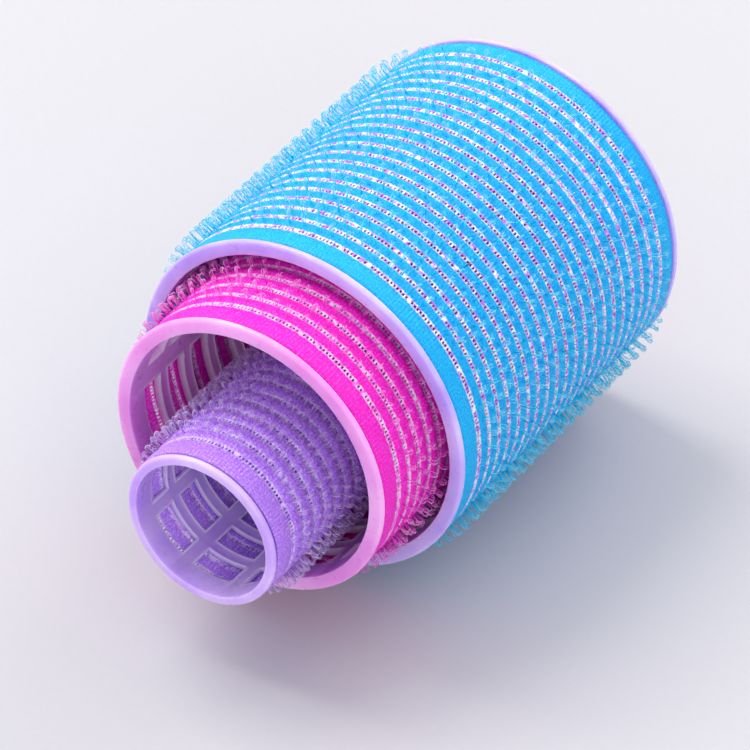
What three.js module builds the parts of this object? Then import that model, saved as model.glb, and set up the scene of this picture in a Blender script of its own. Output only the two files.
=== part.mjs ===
// A nest of three self-grip hair rollers, lying on its side.
// Each roller is a moulded lattice core with a sleeve of nylon hooks wrapped round it.
// The small roller lies in the bore of the medium one, and the medium one in the large one.
// Millimetres. +Y runs along the rollers, from the small roller's front to the large one's back,
// +Z is up, and the origin is under the middle of the nest, on the surface that it lies on.
import * as THREE from "three";

// Sizes that all three rollers share
const CORE_LENGTH = 61;
const RIM_WIDTH = 0.9; // along the axis, of the raised rim at each end of a core
const RIM_CHAMFER = 0.5;
const END_BAND = 4.05; // from a core's end to its first row of windows
const WINDOW_ROWS = 9;
const RIB_WIDTH = 2.0; // along the axis, between two rows of windows
const WINDOW_COLUMNS = 8;
const BAR_WIDTH = 2.3; // round the bore, between two windows
const WIDE_BAR_WIDTH = 4.6; // the one bar that runs over the mould's parting line
const SELVEDGE_WIDTH = 3.3; // the woven edge of a sleeve, which carries no hooks
const SELVEDGE_THICKNESS = 0.55;
const PILE_SHOULDER = 0.5; // along the axis, where the hooks begin

// Sizes of each roller, as radii and radial heights
const SMALL_RIM_RADIUS = 12.8;
const SMALL_WALL = 0.95;
const SMALL_RIM_HEIGHT = 0.55; // of the rim above the barrel
const SMALL_PILE_HEIGHT = 2.1; // of the hooks' tips above the rim
const MEDIUM_WALL = 1.45;
const MEDIUM_RIM_HEIGHT = 0.85;
const MEDIUM_PILE_HEIGHT = 1.8;
const LARGE_WALL = 1.45;
const LARGE_RIM_HEIGHT = 0.85;
const LARGE_PILE_HEIGHT = 2.0;

// How the rollers lie in one another
const SMALL_ROOM = 6.0; // radial, between the small roller's hooks and the medium bore
const MEDIUM_ROOM = 0.7; // radial, between the medium roller's hooks and the large bore
const NEST_GAP = 0.3; // left under an inner roller where it rests
const SLEEVE_GAP = 0.3; // between a core and its sleeve
const MEDIUM_OUT = 14; // how far the medium roller stands out of the large one
const SMALL_OUT = 12.5; // how far the small roller stands out of the medium one
const LARGE_CORE_TURN = 202.5; // degrees about the axis, from the top, to the wide bar
const MEDIUM_CORE_TURN = 279;
const SMALL_CORE_TURN = 27;

// Facets
const SLEEVE_SIDES = 24; // a flat side faces down
const SMALL_WINDOW_STEPS = 2;
const WINDOW_STEPS = 3;

const CORE_LILAC = "#bfaeea";
const CORE_PINK = "#e9a9e3";
const CORE_PURPLE = "#c3a6f3";
const SLEEVE_BLUE = "#00a6ee";
const SLEEVE_PINK = "#f41cc2";
const SLEEVE_PURPLE = "#a27dea";

const sideHalfAngle = Math.PI / SLEEVE_SIDES;

// Works out one roller's radii from its bore outwards.
function radiiFromBore(bore, wall, rimHeight, pileHeight) {
  const barrel = bore + wall;
  const rim = barrel + rimHeight;
  const pileTip = rim + pileHeight;
  return { bore, barrel, rim, pileTip };
}

const smallBore = SMALL_RIM_RADIUS - SMALL_RIM_HEIGHT - SMALL_WALL;
const small = radiiFromBore(smallBore, SMALL_WALL, SMALL_RIM_HEIGHT, SMALL_PILE_HEIGHT);
const mediumBore = small.pileTip + SMALL_ROOM;
const medium = radiiFromBore(mediumBore, MEDIUM_WALL, MEDIUM_RIM_HEIGHT, MEDIUM_PILE_HEIGHT);
const largeBore = medium.pileTip + MEDIUM_ROOM;
const large = radiiFromBore(largeBore, LARGE_WALL, LARGE_RIM_HEIGHT, LARGE_PILE_HEIGHT);

// Angles round a core, in equal steps over each column's window. A bar lies between two windows.
function columnAngles(bore, windowSteps) {
  const pitch = (2 * Math.PI) / WINDOW_COLUMNS;
  const barHalf = (column) => (column % WINDOW_COLUMNS === 0 ? WIDE_BAR_WIDTH : BAR_WIDTH) / 2 / bore;
  const angles = [];
  const windowStarts = [];
  for (let column = 0; column < WINDOW_COLUMNS; column += 1) {
    const start = column * pitch + barHalf(column);
    const end = (column + 1) * pitch - barHalf(column + 1);
    windowStarts.push(angles.length);
    for (let step = 0; step <= windowSteps; step += 1) {
      angles.push(start + ((end - start) * step) / windowSteps);
    }
  }
  return { angles, windowStarts };
}

// A closed surface from rings of points, given as [radius, y] round a closed outline, less the
// cells that isOpen names. Outlines run towards +Y on the outside.
function ringSurface(outline, angles, isOpen) {
  const around = angles.length;
  const positions = [];
  for (const [radius, y] of outline) {
    for (const angle of angles) {
      positions.push(radius * Math.sin(angle), y, radius * Math.cos(angle));
    }
  }
  const vertex = (ring, step) => (ring % outline.length) * around + (step % around);
  const indices = [];
  const quad = (a, b, c, d) => indices.push(a, b, c, a, c, d);
  for (let ring = 0; ring < outline.length; ring += 1) {
    for (let step = 0; step < around; step += 1) {
      if (!isOpen(ring, step)) {
        quad(vertex(ring, step), vertex(ring, step + 1), vertex(ring + 1, step + 1), vertex(ring + 1, step));
      }
    }
  }
  return { positions, indices, vertex, quad };
}

function toGeometry(surface) {
  const geometry = new THREE.BufferGeometry();
  geometry.setAttribute("position", new THREE.Float32BufferAttribute(surface.positions, 3));
  geometry.setIndex(surface.indices);
  geometry.computeVertexNormals();
  return geometry;
}

// Front and back edge of every row of windows, measured from the core's front.
function windowEdges() {
  const ribs = WINDOW_ROWS - 1;
  const windowLength = (CORE_LENGTH - 2 * END_BAND - ribs * RIB_WIDTH) / WINDOW_ROWS;
  const edges = [];
  for (let row = 0; row < WINDOW_ROWS; row += 1) {
    const front = END_BAND + row * (windowLength + RIB_WIDTH);
    edges.push(front, front + windowLength);
  }
  return edges;
}

// The moulded core: a tube with a raised rim at each end and windows all the way round.
function coreGeometry(radii, windowSteps) {
  const edges = windowEdges();
  const { angles, windowStarts } = columnAngles(radii.bore, windowSteps);
  const back = CORE_LENGTH;
  const outline = [
    [radii.rim - RIM_CHAMFER, 0],
    [radii.rim, RIM_CHAMFER],
    [radii.rim, RIM_WIDTH],
    [radii.barrel, RIM_WIDTH],
  ];
  const firstOuter = outline.length;
  for (const y of edges) {
    outline.push([radii.barrel, y]);
  }
  outline.push([radii.barrel, back - RIM_WIDTH]);
  outline.push([radii.rim, back - RIM_WIDTH]);
  outline.push([radii.rim, back - RIM_CHAMFER]);
  outline.push([radii.rim - RIM_CHAMFER, back]);
  outline.push([radii.bore, back]);
  const firstInner = outline.length;
  for (const y of [...edges].reverse()) {
    outline.push([radii.bore, y]);
  }
  outline.push([radii.bore, 0]);

  const inWindow = (step) => windowStarts.some((start) => step >= start && step < start + windowSteps);
  const rowRing = (ring, first) => ring >= first && ring < first + edges.length && (ring - first) % 2 === 0;
  const isOpen = (ring, step) => inWindow(step) && (rowRing(ring, firstOuter) || rowRing(ring, firstInner));
  const surface = ringSurface(outline, angles, isOpen);
  const { vertex, quad } = surface;

  for (let row = 0; row < WINDOW_ROWS; row += 1) {
    const outerFront = firstOuter + 2 * row;
    const outerBack = outerFront + 1;
    const innerFront = firstInner + edges.length - 1 - 2 * row;
    const innerBack = innerFront - 1;
    for (const start of windowStarts) {
      const end = start + windowSteps;
      for (let step = start; step < end; step += 1) {
        quad(vertex(innerFront, step), vertex(outerFront, step),
          vertex(outerFront, step + 1), vertex(innerFront, step + 1));
        quad(vertex(innerBack, step), vertex(innerBack, step + 1),
          vertex(outerBack, step + 1), vertex(outerBack, step));
      }
      quad(vertex(innerFront, start), vertex(innerBack, start),
        vertex(outerBack, start), vertex(outerFront, start));
      quad(vertex(innerFront, end), vertex(outerFront, end),
        vertex(outerBack, end), vertex(innerBack, end));
    }
  }
  return toGeometry(surface);
}

// The sleeve: a woven band at each end and, between them, the space that the hooks fill.
// Its sides are flat, so its inside is sized to clear the core where they come closest.
function sleeveGeometry(radii) {
  const front = RIM_WIDTH + SLEEVE_GAP;
  const back = CORE_LENGTH - RIM_WIDTH - SLEEVE_GAP;
  const inside = (radii.barrel + SLEEVE_GAP) / Math.cos(sideHalfAngle);
  const selvedge = inside + SELVEDGE_THICKNESS;
  const tip = radii.pileTip / Math.cos(sideHalfAngle);
  const outline = [
    [selvedge, front],
    [selvedge, front + SELVEDGE_WIDTH],
    [tip, front + SELVEDGE_WIDTH + PILE_SHOULDER],
    [tip, back - SELVEDGE_WIDTH - PILE_SHOULDER],
    [selvedge, back - SELVEDGE_WIDTH],
    [selvedge, back],
    [inside, back],
    [inside, front],
  ];
  const angles = [];
  for (let side = 0; side < SLEEVE_SIDES; side += 1) {
    angles.push((2 * side + 1) * sideHalfAngle);
  }
  return toGeometry(ringSurface(outline, angles, () => false));
}

function namedMesh(name, geometry, color, roughness) {
  const material = new THREE.MeshStandardMaterial({ color, roughness, metalness: 0 });
  const mesh = new THREE.Mesh(geometry, material);
  mesh.name = name;
  return mesh;
}

function roller(name, radii, windowSteps, coreTurn, coreColor, sleeveColor) {
  const core = namedMesh(`${name}_core`, coreGeometry(radii, windowSteps), coreColor, 0.3);
  core.rotation.y = THREE.MathUtils.degToRad(coreTurn);
  const sleeve = namedMesh(`${name}_hook_sleeve`, sleeveGeometry(radii), sleeveColor, 0.7);
  const group = new THREE.Group();
  group.add(core, sleeve);
  return group;
}

// Where each roller's axis and front end lie. An inner roller rests low in the bore round it;
// a bore between flat sides is narrowest at the middle of its widest side.
function boreClear(radii, windowSteps) {
  const windowAngle = (2 * Math.PI) / WINDOW_COLUMNS - BAR_WIDTH / radii.bore;
  return radii.bore * Math.cos(windowAngle / windowSteps / 2);
}

const pileReach = (radii) => radii.pileTip / Math.cos(sideHalfAngle);
const nestLength = SMALL_OUT + MEDIUM_OUT + CORE_LENGTH;
const largeFront = -nestLength / 2 + SMALL_OUT + MEDIUM_OUT;
const mediumFront = largeFront - MEDIUM_OUT;
const smallFront = mediumFront - SMALL_OUT;
const largeAxis = large.pileTip;
const mediumAxis = largeAxis - (boreClear(large, WINDOW_STEPS) - pileReach(medium) - NEST_GAP);
const smallAxis = mediumAxis - (boreClear(medium, WINDOW_STEPS) - pileReach(small) - NEST_GAP);

const nest = new THREE.Group();
const largeRoller = roller("large", large, WINDOW_STEPS, LARGE_CORE_TURN, CORE_LILAC, SLEEVE_BLUE);
const mediumRoller = roller("medium", medium, WINDOW_STEPS, MEDIUM_CORE_TURN, CORE_PINK, SLEEVE_PINK);
const smallRoller = roller("small", small, SMALL_WINDOW_STEPS, SMALL_CORE_TURN, CORE_PURPLE, SLEEVE_PURPLE);
largeRoller.position.set(0, largeFront, largeAxis);
mediumRoller.position.set(0, mediumFront, mediumAxis);
smallRoller.position.set(0, smallFront, smallAxis);
nest.add(largeRoller, mediumRoller, smallRoller);

export default nest;
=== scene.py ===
"""Looks for a nest of three self-grip hair rollers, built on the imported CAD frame.

Each roller is made of a moulded lattice core, a woven net sleeve with see-through rows, and the
nylon hooks that stand on it. Metres throughout; sizes in millimetres are multiplied by MM.
"""
import math

import bpy
import numpy as np
from mathutils import Matrix, Vector


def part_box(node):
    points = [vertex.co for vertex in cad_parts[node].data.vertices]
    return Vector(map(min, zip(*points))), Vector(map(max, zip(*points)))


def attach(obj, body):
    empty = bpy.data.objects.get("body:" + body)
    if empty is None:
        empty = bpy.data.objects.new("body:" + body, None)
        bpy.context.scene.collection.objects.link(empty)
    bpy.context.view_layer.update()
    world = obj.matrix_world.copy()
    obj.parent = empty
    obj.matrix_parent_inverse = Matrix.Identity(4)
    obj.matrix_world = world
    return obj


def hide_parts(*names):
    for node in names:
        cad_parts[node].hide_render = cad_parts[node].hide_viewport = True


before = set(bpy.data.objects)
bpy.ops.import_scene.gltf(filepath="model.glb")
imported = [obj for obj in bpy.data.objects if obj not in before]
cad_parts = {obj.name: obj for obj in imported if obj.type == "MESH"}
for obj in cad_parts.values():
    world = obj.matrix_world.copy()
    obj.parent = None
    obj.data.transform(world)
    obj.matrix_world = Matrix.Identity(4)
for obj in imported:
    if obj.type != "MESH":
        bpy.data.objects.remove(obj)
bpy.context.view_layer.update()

MM = 0.001

# ---- sizes, in millimetres -------------------------------------------------------------------
RIM_WIDTH = 0.9
RIM_ROUND = 0.5
END_BAND = 4.05
WINDOW_ROWS = 9
RIB_WIDTH = 2.0
WINDOW_COLUMNS = 8
BAR_WIDTH = 2.3
WIDE_BAR_WIDTH = 4.6
BEAD_WIDTH = 0.4  # the raised frame round a window, inside the core
BEAD_HEIGHT = 0.3

THREAD_SHARE = 0.48  # of a thread's pitch; the rest is a gap, where the net is open
CLOSED_GAPS = 0.06  # share of those gaps that the weave has closed
WOVEN_EDGE = ((0.0, 0.0), (0.5, 0.1), (2.0, 0.14))  # distance from the sleeve's end, and crown
FIRST_LINE = 4.0  # from the sleeve's front to the middle of its first see-through row
LINE_PITCH = 2.69
LINE_COUNT = 20
LINE_WIDTH = 0.6
NET_THICKNESS = 0.26
NET_SEAT = 0.32  # from the barrel to the middle of the net
BAND_CROWN = 0.2
THREAD_CROWN = 0.045
OVERLAP_THREADS = 5
RIB_PITCH = 0.61  # of the fine ribs in the cloth's colour and bump
PICK_PITCH = 0.45  # of the threads that cross them

TUFT_HOOKS = 4
FILAMENT_RADIUS = 0.055
BACK_HOOKS = 0.8  # share of the hooks that curl towards the roller's back
CURL_RADIUS = (0.3, 0.46)
CURL_SWEEP = (165, 260)  # degrees
LEAN = (0.2, 0.1)  # away from the way it curls, at the curl: mean and spread
TWIST = 0.25  # radians, spread
ROOT_SETBACK = 0.12  # from the band's middle, away from the way the hook curls
ROOT_SPREAD = 0.1  # along the roller
SHORTFALL = (2.0, 0.09)  # gamma shape and scale of how much shorter than its reach a hook is
OVERREACH = 0.15  # how far the longest hooks pass the CAD sleeve's surface
TUFT_SPREAD = 0.11  # round the roller, as a share of the tufts' spacing
ROW_SHIFT = 0.12  # of one row of tufts to the next, in the same way
FLOOR_GAP = 0.03


class Roller:
    """One roller's radii and ends, measured on its CAD nodes, and what differs between rollers.

    Turns are in degrees from the top towards +X, threads and tufts are counts round the roller, and
    reach is how far in millimetres a hook may pass the CAD sleeve's surface.
    """

    def __init__(self, name, wide_bar_turn, threads, seam_turn, tufts, reach, seed):
        self.name = name
        self.turn = math.radians(wide_bar_turn)
        self.threads = threads
        self.seam = math.radians(seam_turn)
        self.tufts = tufts
        self.rng = np.random.default_rng(seed)
        low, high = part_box(f"{name}_hook_sleeve")
        self.axis_z = (low.z + high.z) / 2
        self.sleeve_front, self.sleeve_back = low.y, high.y
        self.tip = (high.z - low.z) / 2
        self.reach = self.tip + reach * MM
        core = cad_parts[f"{name}_core"]
        places = np.array([v.co for v in core.data.vertices])
        radii = np.hypot(places[:, 0], places[:, 2] - self.axis_z)
        self.bore, self.barrel = np.unique(radii.round(5))[:2]
        self.rim = radii.max()
        self.front, self.back = places[:, 1].min(), places[:, 1].max()

    def place(self, radius, angle, y):
        """Points from radius, angle from the top towards +X, and y; arrays of one shape."""
        radius, angle, y = np.broadcast_arrays(radius, angle, y)
        return np.stack([radius * np.sin(angle), y, self.axis_z + radius * np.cos(angle)], axis=-1)


# ---- mesh helpers ------------------------------------------------------------------------------
def mesh_object(name, points, faces):
    """A smooth-shaded mesh object from an array of points and a list of arrays of equal-sided faces."""
    mesh = bpy.data.meshes.new(name)
    faces = [np.asarray(f, np.int32) for f in faces if len(f)]
    corners = np.concatenate([f.ravel() for f in faces])
    sizes = np.concatenate([np.full(len(f), f.shape[1], np.int32) for f in faces])
    starts = np.concatenate([[0], np.cumsum(sizes)[:-1]]).astype(np.int32)
    points = np.asarray(points, np.float32).reshape(-1, 3)
    mesh.vertices.add(len(points))
    mesh.vertices.foreach_set("co", points.ravel())
    mesh.loops.add(len(corners))
    mesh.loops.foreach_set("vertex_index", corners)
    mesh.polygons.add(len(sizes))
    mesh.polygons.foreach_set("loop_start", starts)
    mesh.polygons.foreach_set("use_smooth", np.full(len(sizes), True))
    mesh.update(calc_edges=True)
    made = bpy.data.objects.new(name, mesh)
    bpy.context.scene.collection.objects.link(made)
    return made


def bake_map(piece, places):
    """Gives the piece the map its colours are baked through: one array of corners per array of faces."""
    layer = piece.data.uv_layers.new(name="OFBake")
    corners = np.concatenate([np.asarray(p, np.float32).reshape(-1, 2) for p in places])
    layer.uv.foreach_set("vector", corners.ravel())


def map_cells(count, low, high):
    """The lower corners and the size of count equal cells that fill a box of the map."""
    wide, tall = high[0] - low[0], high[1] - low[1]
    across = math.ceil(math.sqrt(count * wide / tall))
    size = np.array([wide / across, tall / math.ceil(count / across)])
    cell = np.arange(count)
    return np.array(low) + np.stack([cell % across, cell // across], axis=1) * size, size


def vector_attribute(piece, name, values):
    attribute = piece.data.attributes.new(name, "FLOAT_VECTOR", "POINT")
    attribute.data.foreach_set("vector", np.asarray(values, np.float32).ravel())


def applied(piece):
    """Replaces the piece's mesh by what its modifiers make of it."""
    bpy.context.view_layer.update()
    depsgraph = bpy.context.evaluated_depsgraph_get()
    mesh = bpy.data.meshes.new_from_object(piece.evaluated_get(depsgraph), depsgraph=depsgraph)
    piece.modifiers.clear()
    piece.data = mesh
    return piece


# ---- materials ---------------------------------------------------------------------------------
class Nodes:
    """A material with a Principled shader, and short calls for the nodes that feed it."""

    def __init__(self, name):
        self.material = bpy.data.materials.new(name)
        self.material.use_nodes = True
        self.tree = self.material.node_tree
        self.tree.nodes.clear()
        output = self.tree.nodes.new("ShaderNodeOutputMaterial")
        self.shader = self.tree.nodes.new("ShaderNodeBsdfPrincipled")
        self.tree.links.new(self.shader.outputs["BSDF"], output.inputs["Surface"])

    def set(self, **values):
        for name, value in values.items():
            self.shader.inputs[name.replace("_", " ")].default_value = value

    def feed(self, socket, value):
        if isinstance(value, bpy.types.NodeSocket):
            self.tree.links.new(value, socket)
        else:
            socket.default_value = value

    def math(self, operation, a, b=0.0):
        node = self.tree.nodes.new("ShaderNodeMath")
        node.operation = operation
        self.feed(node.inputs[0], a)
        self.feed(node.inputs[1], b)
        return node.outputs[0]

    def remap(self, value, low, high, to_low=0.0, to_high=1.0):
        node = self.tree.nodes.new("ShaderNodeMapRange")
        self.feed(node.inputs["Value"], value)
        node.inputs["From Min"].default_value = low
        node.inputs["From Max"].default_value = high
        node.inputs["To Min"].default_value = to_low
        node.inputs["To Max"].default_value = to_high
        return node.outputs["Result"]

    def mix(self, factor, a, b):
        node = self.tree.nodes.new("ShaderNodeMix")
        node.data_type = "RGBA"
        self.feed(node.inputs["Factor"], factor)
        self.feed(node.inputs[6], a)
        self.feed(node.inputs[7], b)
        return node.outputs[2]

    def noise(self, vector, scale, detail=2.0, roughness=0.5):
        node = self.tree.nodes.new("ShaderNodeTexNoise")
        self.feed(node.inputs["Vector"], vector)
        node.inputs["Scale"].default_value = scale
        node.inputs["Detail"].default_value = detail
        node.inputs["Roughness"].default_value = roughness
        return node.outputs["Fac"]

    def attribute(self, name):
        node = self.tree.nodes.new("ShaderNodeAttribute")
        node.attribute_type = "GEOMETRY"
        node.attribute_name = name
        return node.outputs["Vector"]

    def separate(self, vector):
        node = self.tree.nodes.new("ShaderNodeSeparateXYZ")
        self.feed(node.inputs[0], vector)
        return node.outputs

    def object_places(self):
        return self.tree.nodes.new("ShaderNodeTexCoord").outputs["Object"]

    def bump(self, height, distance, strength=1.0):
        node = self.tree.nodes.new("ShaderNodeBump")
        node.inputs["Strength"].default_value = strength
        node.inputs["Distance"].default_value = distance
        self.feed(node.inputs["Height"], height)
        self.tree.links.new(node.outputs["Normal"], self.shader.inputs["Normal"])


def srgb(text):
    """A linear colour from six hexadecimal digits."""
    parts = [int(text[i:i + 2], 16) / 255 for i in (0, 2, 4)]
    return tuple(c / 12.92 if c <= 0.04045 else ((c + 0.055) / 1.055) ** 2.4 for c in parts) + (1.0,)


def plastic(name, main, pale, edge):
    """Translucent moulded plastic: faint clouding, uneven gloss, and a painted highlight that turns the
    raised frames round the windows, inside the core, paler.
    """
    made = Nodes(name)
    places = made.object_places()
    clouds = made.remap(made.noise(places, 90, 3), 0.35, 0.7)
    body = made.mix(clouds, srgb(main), srgb(pale))
    # painted highlight: the marked frames round the windows turn to the paler third colour, as bright lines
    # along the window edges
    frame_highlight_mask = made.remap(made.separate(made.attribute("edge"))[0], 0.05, 0.7)
    made.feed(made.shader.inputs["Base Color"], made.mix(frame_highlight_mask, body, srgb(edge)))
    fine = made.noise(places, 700, 2)
    made.feed(made.shader.inputs["Roughness"], made.remap(fine, 0.3, 0.7, 0.26, 0.36))
    made.set(IOR=1.49, Subsurface_Weight=1.0, Subsurface_Scale=0.0018)
    made.shader.inputs["Subsurface Radius"].default_value = (1.0, 1.0, 1.0)
    return made.material


def woven(name, deep, main, pale, glint, through):
    """Woven nylon with ribs along the roller and painted glints on its brightest flecks; the see-through
    rows' nearly clear threads are painted with glints and the light shining through them.
    """
    made = Nodes(name)
    weave = made.attribute("weave")
    around, along, clear = made.separate(weave)
    flecks = made.noise(weave, 3.0, 4, 0.75)
    thread = made.math("SINE", made.math("MULTIPLY", around, 2 * math.pi / RIB_PITCH))
    pick = made.math("SINE", made.math("MULTIPLY", along, 2 * math.pi / PICK_PITCH))
    ribs = made.math("ADD", thread, made.math("MULTIPLY", pick, 0.4))
    base = made.mix(made.remap(flecks, 0.36, 0.48), srgb(deep), srgb(main))
    # painted highlights: the brightest flecks, a little brighter along the ribs, turn to the pale colour as
    # glints on the nylon
    highlight_flecks = made.remap(made.math("ADD", flecks, made.math("MULTIPLY", ribs, 0.04)), 0.52, 0.66)
    cloth = made.mix(highlight_flecks, base, srgb(pale))
    # painted light in the see-through rows: their threads mix white glints with the colour of the light
    # shining through them
    painted_thread_light = made.mix(made.remap(made.noise(weave, 1.1, 2, 0.6), 0.42, 0.58), srgb(through), srgb(glint))
    colour = made.mix(made.remap(clear, 0.8, 0.92), cloth, painted_thread_light)
    made.feed(made.shader.inputs["Base Color"], colour)
    made.feed(made.shader.inputs["Roughness"], made.remap(flecks, 0.35, 0.75, 0.55, 0.4))
    made.bump(made.math("ADD", made.math("MULTIPLY", ribs, 0.4), flecks), 0.0001, 0.5)
    made.set(IOR=1.5, Specular_IOR_Level=0.25, Subsurface_Weight=0.35, Subsurface_Scale=0.002)
    made.shader.inputs["Subsurface Radius"].default_value = (1.0, 1.0, 1.0)
    return made.material


def nylon(name, main, pale):
    """Tinted nylon filament, painted paler towards a hook's tip for the light its nearly clear nylon lets
    through and the glints it catches, with a random tint per hook.
    """
    made = Nodes(name)
    height, hook_tint, _ = made.separate(made.attribute("hook"))
    # painted light: the upper part of each hook turns pale, shifted by the hook's random tint
    tip_light_and_tint = made.remap(made.math("ADD", height, made.math("MULTIPLY", hook_tint, 0.5)), 0.8, 1.6)
    made.feed(made.shader.inputs["Base Color"], made.mix(tip_light_and_tint, srgb(main), srgb(pale)))
    made.feed(made.shader.inputs["Roughness"], made.remap(hook_tint, 0.0, 1.0, 0.2, 0.35))
    made.set(IOR=1.53, Specular_IOR_Level=0.15, Subsurface_Weight=1.0, Subsurface_Scale=0.0006)
    made.shader.inputs["Subsurface Radius"].default_value = (1.0, 1.0, 1.0)
    return made.material


# ---- the moulded core --------------------------------------------------------------------------
def core_rows(roller):
    """Distances along the axis, whether each lies inside a rib, and which ones start a window."""
    length = (roller.back - roller.front) / MM
    window = (length - 2 * END_BAND - (WINDOW_ROWS - 1) * RIB_WIDTH) / WINDOW_ROWS
    rows, recessed, opens = [END_BAND - BEAD_WIDTH], [False], []
    for row in range(WINDOW_ROWS):
        start = END_BAND + row * (window + RIB_WIDTH)
        opens.append(len(rows))
        rows += [start, start + window]
        recessed += [False, False]
        if row < WINDOW_ROWS - 1:
            end = start + window
            rows += [end + BEAD_WIDTH, end + RIB_WIDTH / 2, end + RIB_WIDTH - BEAD_WIDTH]
            recessed += [True, True, True]
    return rows + [length - END_BAND + BEAD_WIDTH], recessed + [False], opens


def core_columns(roller, window_steps):
    """Angles round the core, with whether each lies inside a bar, and where each window starts."""
    pitch = 2 * math.pi / WINDOW_COLUMNS
    bore = roller.bore / MM
    half_of = lambda c: (WIDE_BAR_WIDTH if c % WINDOW_COLUMNS == 0 else BAR_WIDTH) / 2 / bore
    bead = BEAD_WIDTH / bore
    angles, recessed, opens = [], [], []
    for column in range(WINDOW_COLUMNS):
        middle, half = column * pitch, half_of(column)
        for share in (-1, -0.34, 0.34, 1):
            angles.append(middle + share * (half - bead))
            recessed.append(True)
        start, end = middle + half, middle + pitch - half_of(column + 1)
        opens.append(len(angles))
        for step in range(window_steps + 1):
            angles.append(start + (end - start) * step / window_steps)
            recessed.append(False)
    return np.array(angles) + roller.turn, np.array(recessed), opens


def core_piece(roller, window_steps, finish):
    rows, row_recessed, row_opens = core_rows(roller)
    angles, column_recessed, column_opens = core_columns(roller, window_steps)
    length = (roller.back - roller.front) / MM
    bore, barrel, rim = roller.bore / MM, roller.barrel / MM, roller.rim / MM
    outline = []  # [radius, y, recess inside ribs and bars]
    for step in range(5):
        turn = math.pi / 2 * step / 4
        outline.append((rim - RIM_ROUND + RIM_ROUND * math.sin(turn), RIM_ROUND * (1 - math.cos(turn)), 0))
    outline += [(rim, RIM_WIDTH, 0), (barrel, RIM_WIDTH, 0)]
    first_outer = len(outline)
    outline += [(barrel, y, 0) for y in rows]
    front_half = outline[:first_outer]
    outline += [(r, length - y, 0) for r, y, _ in reversed(front_half)]
    outline.append((bore, length, 0))
    first_inner = len(outline)
    outline += [(bore, y, 1) for y in reversed(rows)]
    outline.append((bore, 0, 0))
    around, count = len(angles), len(outline)

    radius = np.array([o[0] for o in outline])[:, None] * np.ones(around)
    inner_recess = np.zeros((count, around), bool)
    inner = np.arange(first_inner, first_inner + len(rows))
    inner_recess[inner] = np.array(row_recessed)[::-1][:, None] | column_recessed[None, :]
    radius = radius + inner_recess * BEAD_HEIGHT
    y = np.array([o[1] for o in outline])[:, None] * np.ones(around)
    points = roller.place(radius * MM, angles[None, :], roller.front + y * MM)

    open_cell = np.zeros((count, around), bool)
    for start in column_opens:
        for row in row_opens:
            open_cell[first_outer + row, start:start + window_steps] = True
            open_cell[first_inner + len(rows) - 2 - row, start:start + window_steps] = True
    ring, step = np.nonzero(~open_cell)
    after, beyond = (ring + 1) % count, (step + 1) % around
    quads = [np.stack([ring * around + step, ring * around + beyond,
                       after * around + beyond, after * around + step], axis=1)]
    walls = []
    for row in row_opens:
        of, ob = first_outer + row, first_outer + row + 1
        back_ring = first_inner + len(rows) - 2 - row
        inf, inb = back_ring + 1, back_ring
        at = lambda r, s: r * around + s % around
        for start in column_opens:
            end = start + window_steps
            for s in range(start, end):
                walls.append((at(inf, s), at(of, s), at(of, s + 1), at(inf, s + 1)))
                walls.append((at(inb, s), at(inb, s + 1), at(ob, s + 1), at(ob, s)))
            walls.append((at(inf, start), at(inb, start), at(ob, start), at(of, start)))
            walls.append((at(inf, end), at(of, end), at(ob, end), at(inb, end)))
    quads.append(np.array(walls))
    piece = mesh_object(f"{roller.name}_core_moulding", points, quads)
    # marks the raised frames round the windows inside, which the plastic paints with a highlight
    edge = np.zeros((count, around, 3))
    edge[inner[1:-1], :, 0] = ~inner_recess[inner[1:-1]]
    vector_attribute(piece, "edge", edge)
    bevel = piece.modifiers.new("edges", "BEVEL")
    bevel.width = 0.17 * MM
    bevel.segments = 2
    bevel.limit_method = "ANGLE"
    bevel.angle_limit = math.radians(38)
    bevel.harden_normals = True
    applied(piece)
    piece.data.materials.append(finish)
    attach(piece, roller.name)
    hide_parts(f"{roller.name}_core")
    return piece


# ---- the woven sleeve --------------------------------------------------------------------------
def net_rows(width):
    """Edges of the sleeve's rows from its front, how far each stands up, and the see-through rows."""
    edges = [distance for distance, crown in WOVEN_EDGE]
    crowns = [crown for distance, crown in WOVEN_EDGE]
    see_through = [False] * len(WOVEN_EDGE)
    for line in range(LINE_COUNT):
        middle = FIRST_LINE + line * LINE_PITCH
        edges += [middle - LINE_WIDTH / 2, middle + LINE_WIDTH / 2]
        crowns += [0.0, 0.0]
        see_through += [True, False]
        if line < LINE_COUNT - 1:
            edges.append(middle + LINE_PITCH / 2)
            crowns.append(BAND_CROWN)
            see_through.append(False)
    edges += [width - distance for distance, crown in reversed(WOVEN_EDGE)]
    crowns += [crown for distance, crown in reversed(WOVEN_EDGE)]
    see_through += [False] * (len(WOVEN_EDGE) - 1)
    return np.array(edges), np.array(crowns), np.array(see_through)


def net_radius(roller, angle_from_seam):
    """Middle of the net, in metres: it follows the barrel and climbs over its own start."""
    climb = np.clip((angle_from_seam / (2 * math.pi / roller.threads) - roller.threads + 3) / 3, 0, 1)
    wander = 0.05 * np.sin(3 * angle_from_seam + 0.7) + 0.04 * np.sin(7 * angle_from_seam)
    return roller.barrel + (NET_SEAT + 0.02 + wander + 0.4 * climb) * MM


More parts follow.
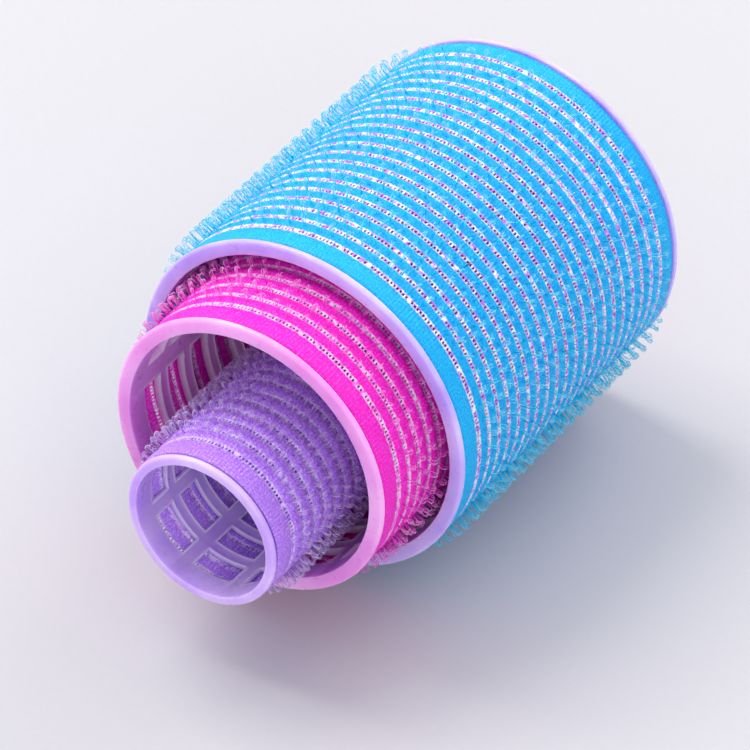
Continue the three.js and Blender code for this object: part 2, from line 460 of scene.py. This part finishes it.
def net_piece(roller, finish):
    rng = roller.rng
    width = (roller.sleeve_back - roller.sleeve_front) / MM
    edges, crowns, see_through = net_rows(width)
    pitch = 2 * math.pi / roller.threads
    columns = 2 * (roller.threads + OVERLAP_THREADS) + 2
    turn = (np.arange(columns) // 2 + THREAD_SHARE * (np.arange(columns) % 2)) * pitch
    rows = len(edges)
    angle = np.repeat(turn[None, :], rows, axis=0) + rng.normal(0, 0.035 * pitch, (rows, columns))
    y = np.repeat(edges[:, None], columns, axis=1)
    y[3:-3] += rng.normal(0, 0.035, (rows - 6, columns))
    thread_side = np.where(np.arange(columns) % 2 == 0, 1.0, -1.0)
    ridge = thread_side * np.where(np.arange(rows) % 2 == 0, 1, -1)[:, None]
    ridge[:3] = ridge[-3:] = thread_side
    lift = crowns[:, None] + THREAD_CROWN * ridge
    middle = net_radius(roller, angle) + lift * MM
    half = NET_THICKNESS / 2 * MM
    outside = roller.place(middle + half, angle + roller.seam, roller.sleeve_front + y * MM)
    inside = roller.place(middle - half, angle + roller.seam, roller.sleeve_front + y * MM)
    points = np.concatenate([outside.reshape(-1, 3), inside.reshape(-1, 3)])

    gap_column = np.arange(columns - 1) % 2 == 1
    open_cell = see_through[:, None] & gap_column[None, :]
    open_cell = open_cell & (rng.random(open_cell.shape) > CLOSED_GAPS)
    solid = ~open_cell
    row, column = np.nonzero(solid)
    at = lambda r, c: r * columns + c
    corners = [(0, 0), (0, 1), (1, 1), (1, 0)]
    top = np.stack([at(row + r, column + c) for r, c in corners], axis=1)
    layer = rows * columns
    under = top[:, ::-1] + layer
    ringed = np.pad(solid, 1)
    walls = []  # where a cell has no solid neighbour, from its corner a to its corner b
    for (rows_on, columns_on), a, b in [((-1, 0), 0, 1), ((1, 0), 2, 3), ((0, -1), 3, 0), ((0, 1), 1, 2)]:
        bare = ~ringed[row + 1 + rows_on, column + 1 + columns_on]
        first, second = top[bare, a], top[bare, b]
        walls.append(np.stack([second, first, first + layer, second + layer], axis=1))
    walls = np.concatenate(walls)
    piece = mesh_object(f"{roller.name}_sleeve_net", points, [top, under, walls])
    # the map: the outer layer, above it the inner one, and above both a cell for each wall
    across, upward = np.meshgrid(np.arange(columns) / (columns - 1), edges / width)
    flat = np.stack([across, upward], axis=-1).reshape(-1, 2) * (1, 0.45)
    corner, size = map_cells(len(walls), (0, 0.93), (1, 1))
    square = np.array([(0.1, 0.1), (0.9, 0.1), (0.9, 0.9), (0.1, 0.9)])
    wall_places = corner[:, None] + square * size
    bake_map(piece, [flat[top], flat[under - layer] + (0, 0.47), wall_places])
    clear = np.zeros(rows)
    clear[:-1][see_through] = clear[1:][see_through] = 1
    weave = np.stack([angle * roller.barrel / MM, y, clear[:, None] + np.zeros_like(y)], axis=-1)
    vector_attribute(piece, "weave", np.concatenate([weave.reshape(-1, 3)] * 2))
    piece.data.materials.append(finish)
    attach(piece, roller.name)
    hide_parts(f"{roller.name}_hook_sleeve")
    return piece


# ---- the hooks ---------------------------------------------------------------------------------
def hook_pieces(roller, finish, parts):
    """Tufts of curled filaments round the middle of each band between two see-through rows."""
    rng = roller.rng
    in_band = roller.tufts * TUFT_HOOKS
    count = in_band * (LINE_COUNT - 1)
    band = np.repeat(np.arange(LINE_COUNT - 1), in_band)
    start = np.repeat(rng.normal(0, ROW_SHIFT, LINE_COUNT - 1), in_band)
    tuft = np.tile(np.arange(roller.tufts).repeat(TUFT_HOOKS), LINE_COUNT - 1)
    turn = (tuft + start + rng.normal(0, TUFT_SPREAD, count)) / roller.tufts * 2 * math.pi
    side = np.where(rng.random(count) < BACK_HOOKS, 1.0, -1.0)
    along = FIRST_LINE + (band + 0.5) * LINE_PITCH - ROOT_SETBACK * side + rng.normal(0, ROOT_SPREAD, count)
    foot = net_radius(roller, turn) / MM + BAND_CROWN
    height = roller.tip / MM - foot - rng.gamma(*SHORTFALL, count) + OVERREACH
    height = np.minimum(height, roller.reach / MM - foot - FILAMENT_RADIUS)
    curl = rng.uniform(*CURL_RADIUS, count)
    sweep = np.radians(rng.uniform(*CURL_SWEEP, count))
    lean = rng.normal(*LEAN, count)
    twist = rng.normal(0, TWIST, count)

    # the filament's line in its own plane: s sideways, h up
    s, h = [np.full(count, 0.0)], [np.full(count, -0.1)]
    stem = height - curl
    for share in (0.55, 1.0):
        s.append(-lean * share)
        h.append(stem * share)
    centre = -lean + curl
    for step in range(1, 5):
        angle = math.pi - sweep * step / 4
        s.append(centre + curl * np.cos(angle))
        h.append(stem + curl * np.sin(angle))
    s, h = np.stack(s, 1), np.stack(h, 1)
    knots = s.shape[1]

    up = np.stack([np.sin(turn + roller.seam), np.zeros(count), np.cos(turn + roller.seam)], 1)
    across = np.stack([np.cos(turn + roller.seam), np.zeros(count), -np.sin(turn + roller.seam)], 1)
    ahead = np.array([0.0, 1.0, 0.0])
    sideways = (side * np.cos(twist))[:, None] * ahead + np.sin(twist)[:, None] * across
    normal = np.cross(up, sideways)
    root = roller.place(foot * MM, turn + roller.seam, roller.sleeve_front + along * MM)
    line = root[:, None] + (h[..., None] * up[:, None] + s[..., None] * sideways[:, None]) * MM
    floor = (FILAMENT_RADIUS + FLOOR_GAP) * MM
    line[..., 2] = np.maximum(line[..., 2], floor)
    tangent = np.gradient(line, axis=1)
    tangent /= np.linalg.norm(tangent, axis=2, keepdims=True)
    bend = np.cross(tangent, normal[:, None])
    bend /= np.linalg.norm(bend, axis=2, keepdims=True)
    rings = []
    for corner in range(3):
        turned = 2 * math.pi * corner / 3
        outwards = math.cos(turned) * normal[:, None] + math.sin(turned) * bend
        rings.append(line + FILAMENT_RADIUS * MM * outwards)
    points = np.stack(rings, axis=2)  # hook, knot, corner, xyz
    # a random tint per hook, and below, each point's height up its hook, which sets the painted light at
    # the tip
    hook_tint = rng.random(count)
    attribute = np.zeros(points.shape)
    attribute[..., 0] = np.clip(h / height[:, None], 0, 1)[..., None]
    attribute[..., 1] = hook_tint[:, None, None]

    knot, corner = np.meshgrid(np.arange(knots - 1), np.arange(3), indexing="ij")
    here, beside = knot * 3 + corner, knot * 3 + (corner + 1) % 3
    sides = np.stack([here, beside, beside + 3, here + 3], axis=-1).reshape(-1, 4)
    caps = np.array([[2, 1, 0], [3 * knots - 3, 3 * knots - 2, 3 * knots - 1]])
    # one cell of the map per hook: three strips of quads, then the two caps beside them
    strip = np.array([(0, 0), (1, 0), (1, 1), (0, 1)]) + np.stack([corner, knot], axis=-1).reshape(-1, 1, 2)
    strip = strip * (0.25, 1 / (knots - 1)) * 0.9 + 0.05
    cap = np.array([(0.78, 0.1), (0.95, 0.1), (0.95, 0.4)])
    cap = np.stack([cap, cap + (0, 0.5)])
    pieces = []
    for part in range(parts):
        chosen = np.nonzero(band * parts // (LINE_COUNT - 1) == part)[0]
        steps = (np.arange(len(chosen)) * knots * 3)[:, None, None]
        quads = (sides[None] + steps).reshape(-1, 4)
        ends = (caps[None] + steps).reshape(-1, 3)
        name = f"{roller.name}_hooks" + (f"_{'front back'.split()[part]}" if parts > 1 else "")
        piece = mesh_object(name, points[chosen], [quads, ends])
        place, size = map_cells(len(chosen), (0, 0), (1, 1))
        place = place[:, None, None]
        bake_map(piece, [place + strip * size, place + cap * size])
        vector_attribute(piece, "hook", attribute[chosen])
        piece.data.materials.append(finish)
        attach(piece, roller.name)
        pieces.append(piece)
    return pieces


# ---- the nest ----------------------------------------------------------------------------------
large = Roller("large", 202.5, 287, 204, 72, 0.4, 11)
medium = Roller("medium", 279, 238, 158, 60, 0.4, 12)
small = Roller("small", 27, 133, 172, 50, 0.3, 13)

# In each finish, the plastic's third colour is a painted highlight, the cloth's pale and glint colours are
# painted highlights and its last colour painted light shining through, and the nylon's second colour is the
# painted light at the tips.
FINISHES = [
    (large, 9, 2, "core_lilac", "sleeve_blue",
     plastic("moulded_lilac", "AE97E8", "CDBDF4", "E8E0FF"),
     woven("woven_blue", "0080E4", "00ACF6", "20C8FF", "FFFFFF", "C878EC"),
     nylon("nylon_blue", "00B0F8", "54CCFA")),
    (medium, 8, 2, "core_pink", "sleeve_pink",
     # the medium core's lilac plastic is painted pink, for the light its pink sleeve passes on to it
     plastic("moulded_lilac_painted_pink_light", "E08CD6", "EEAEE6", "FFDCF6"),
     woven("woven_pink", "F000A8", "FF10C4", "FF58D8", "FFD0F6", "FF60DA"),
     nylon("nylon_pink", "FF20C6", "FF80DE")),
    (small, 6, 1, "core_purple", "sleeve_purple",
     plastic("moulded_purple", "BE98EE", "D8C0F6", "EEDCFF"),
     woven("woven_purple", "9858E6", "B478F8", "DCB8FF", "DCC4FF", "B480F0"),
     nylon("nylon_purple", "B482FC", "DCC4FF")),
]
for roller, window_steps, parts, core_slot, sleeve_slot, moulded, cloth, filament in FINISHES:
    core_piece(roller, window_steps, moulded)
    net_piece(roller, cloth)
    for piece in hook_pieces(roller, filament, parts):
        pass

# ---- floor, light and camera -------------------------------------------------------------------
floor = mesh_object("studio_floor", [(-4, -4, 0), (4, -4, 0), (4, 4, 0), (-4, 4, 0)], [[(0, 1, 2, 3)]])
surface = Nodes("studio_paper")
grain = surface.noise(surface.object_places(), 900, 2)
surface.feed(surface.shader.inputs["Base Color"], surface.mix(grain, srgb("BBB9BD"), srgb("BFBDC1")))
surface.set(Roughness=0.55, Specular_IOR_Level=0.3)
floor.data.materials.append(surface.material)


def softbox(name, place, aim, size, power, colour=(1, 1, 1)):
    lamp = bpy.data.lights.new(name, "AREA")
    lamp.shape = "RECTANGLE"
    lamp.size, lamp.size_y = size
    lamp.energy = power
    lamp.color = colour
    made = bpy.data.objects.new(name, lamp)
    made.location = place
    made.rotation_euler = (Vector(aim) - Vector(place)).to_track_quat("-Z", "Y").to_euler()
    bpy.context.scene.collection.objects.link(made)


softbox("key", (-0.75, 0.1, 1.15), (0, 0, 0.03), (0.8, 0.8), 13.5, (1.0, 0.985, 0.96))
softbox("back", (0.25, 1.1, 0.9), (0, 0, 0.03), (1.0, 0.5), 6.0)
softbox("fill", (0.9, -0.9, 0.6), (0, 0, 0.03), (0.9, 0.9), 5.5, (0.86, 0.92, 1.0))
world = bpy.data.worlds.new("studio")
world.use_nodes = True
world.node_tree.nodes["Background"].inputs["Color"].default_value = (0.95, 0.96, 1.0, 1)
world.node_tree.nodes["Background"].inputs["Strength"].default_value = 0.95
bpy.context.scene.world = world
bpy.context.scene.view_settings.view_transform = "Standard"

eye = Vector((0.394, -0.601, 0.592))
aim = Vector((0.003, -0.002, 0.027))
roll = math.radians(-0.2)
ahead = (aim - eye).normalized()
level = ahead.cross(Vector((0, 0, 1))).normalized()
upright = level.cross(ahead)
right = math.cos(roll) * level + math.sin(roll) * upright
up = -math.sin(roll) * level + math.cos(roll) * upright
camera = bpy.data.objects.new("camera", bpy.data.cameras.new("camera"))
camera.data.lens = 295
camera.data.sensor_width = 36
camera.data.clip_start, camera.data.clip_end = 0.01, 20
camera.matrix_world = Matrix.Translation(eye) @ Matrix((right, up, -ahead)).transposed().to_4x4()
bpy.context.scene.collection.objects.link(camera)
bpy.context.scene.camera = camera
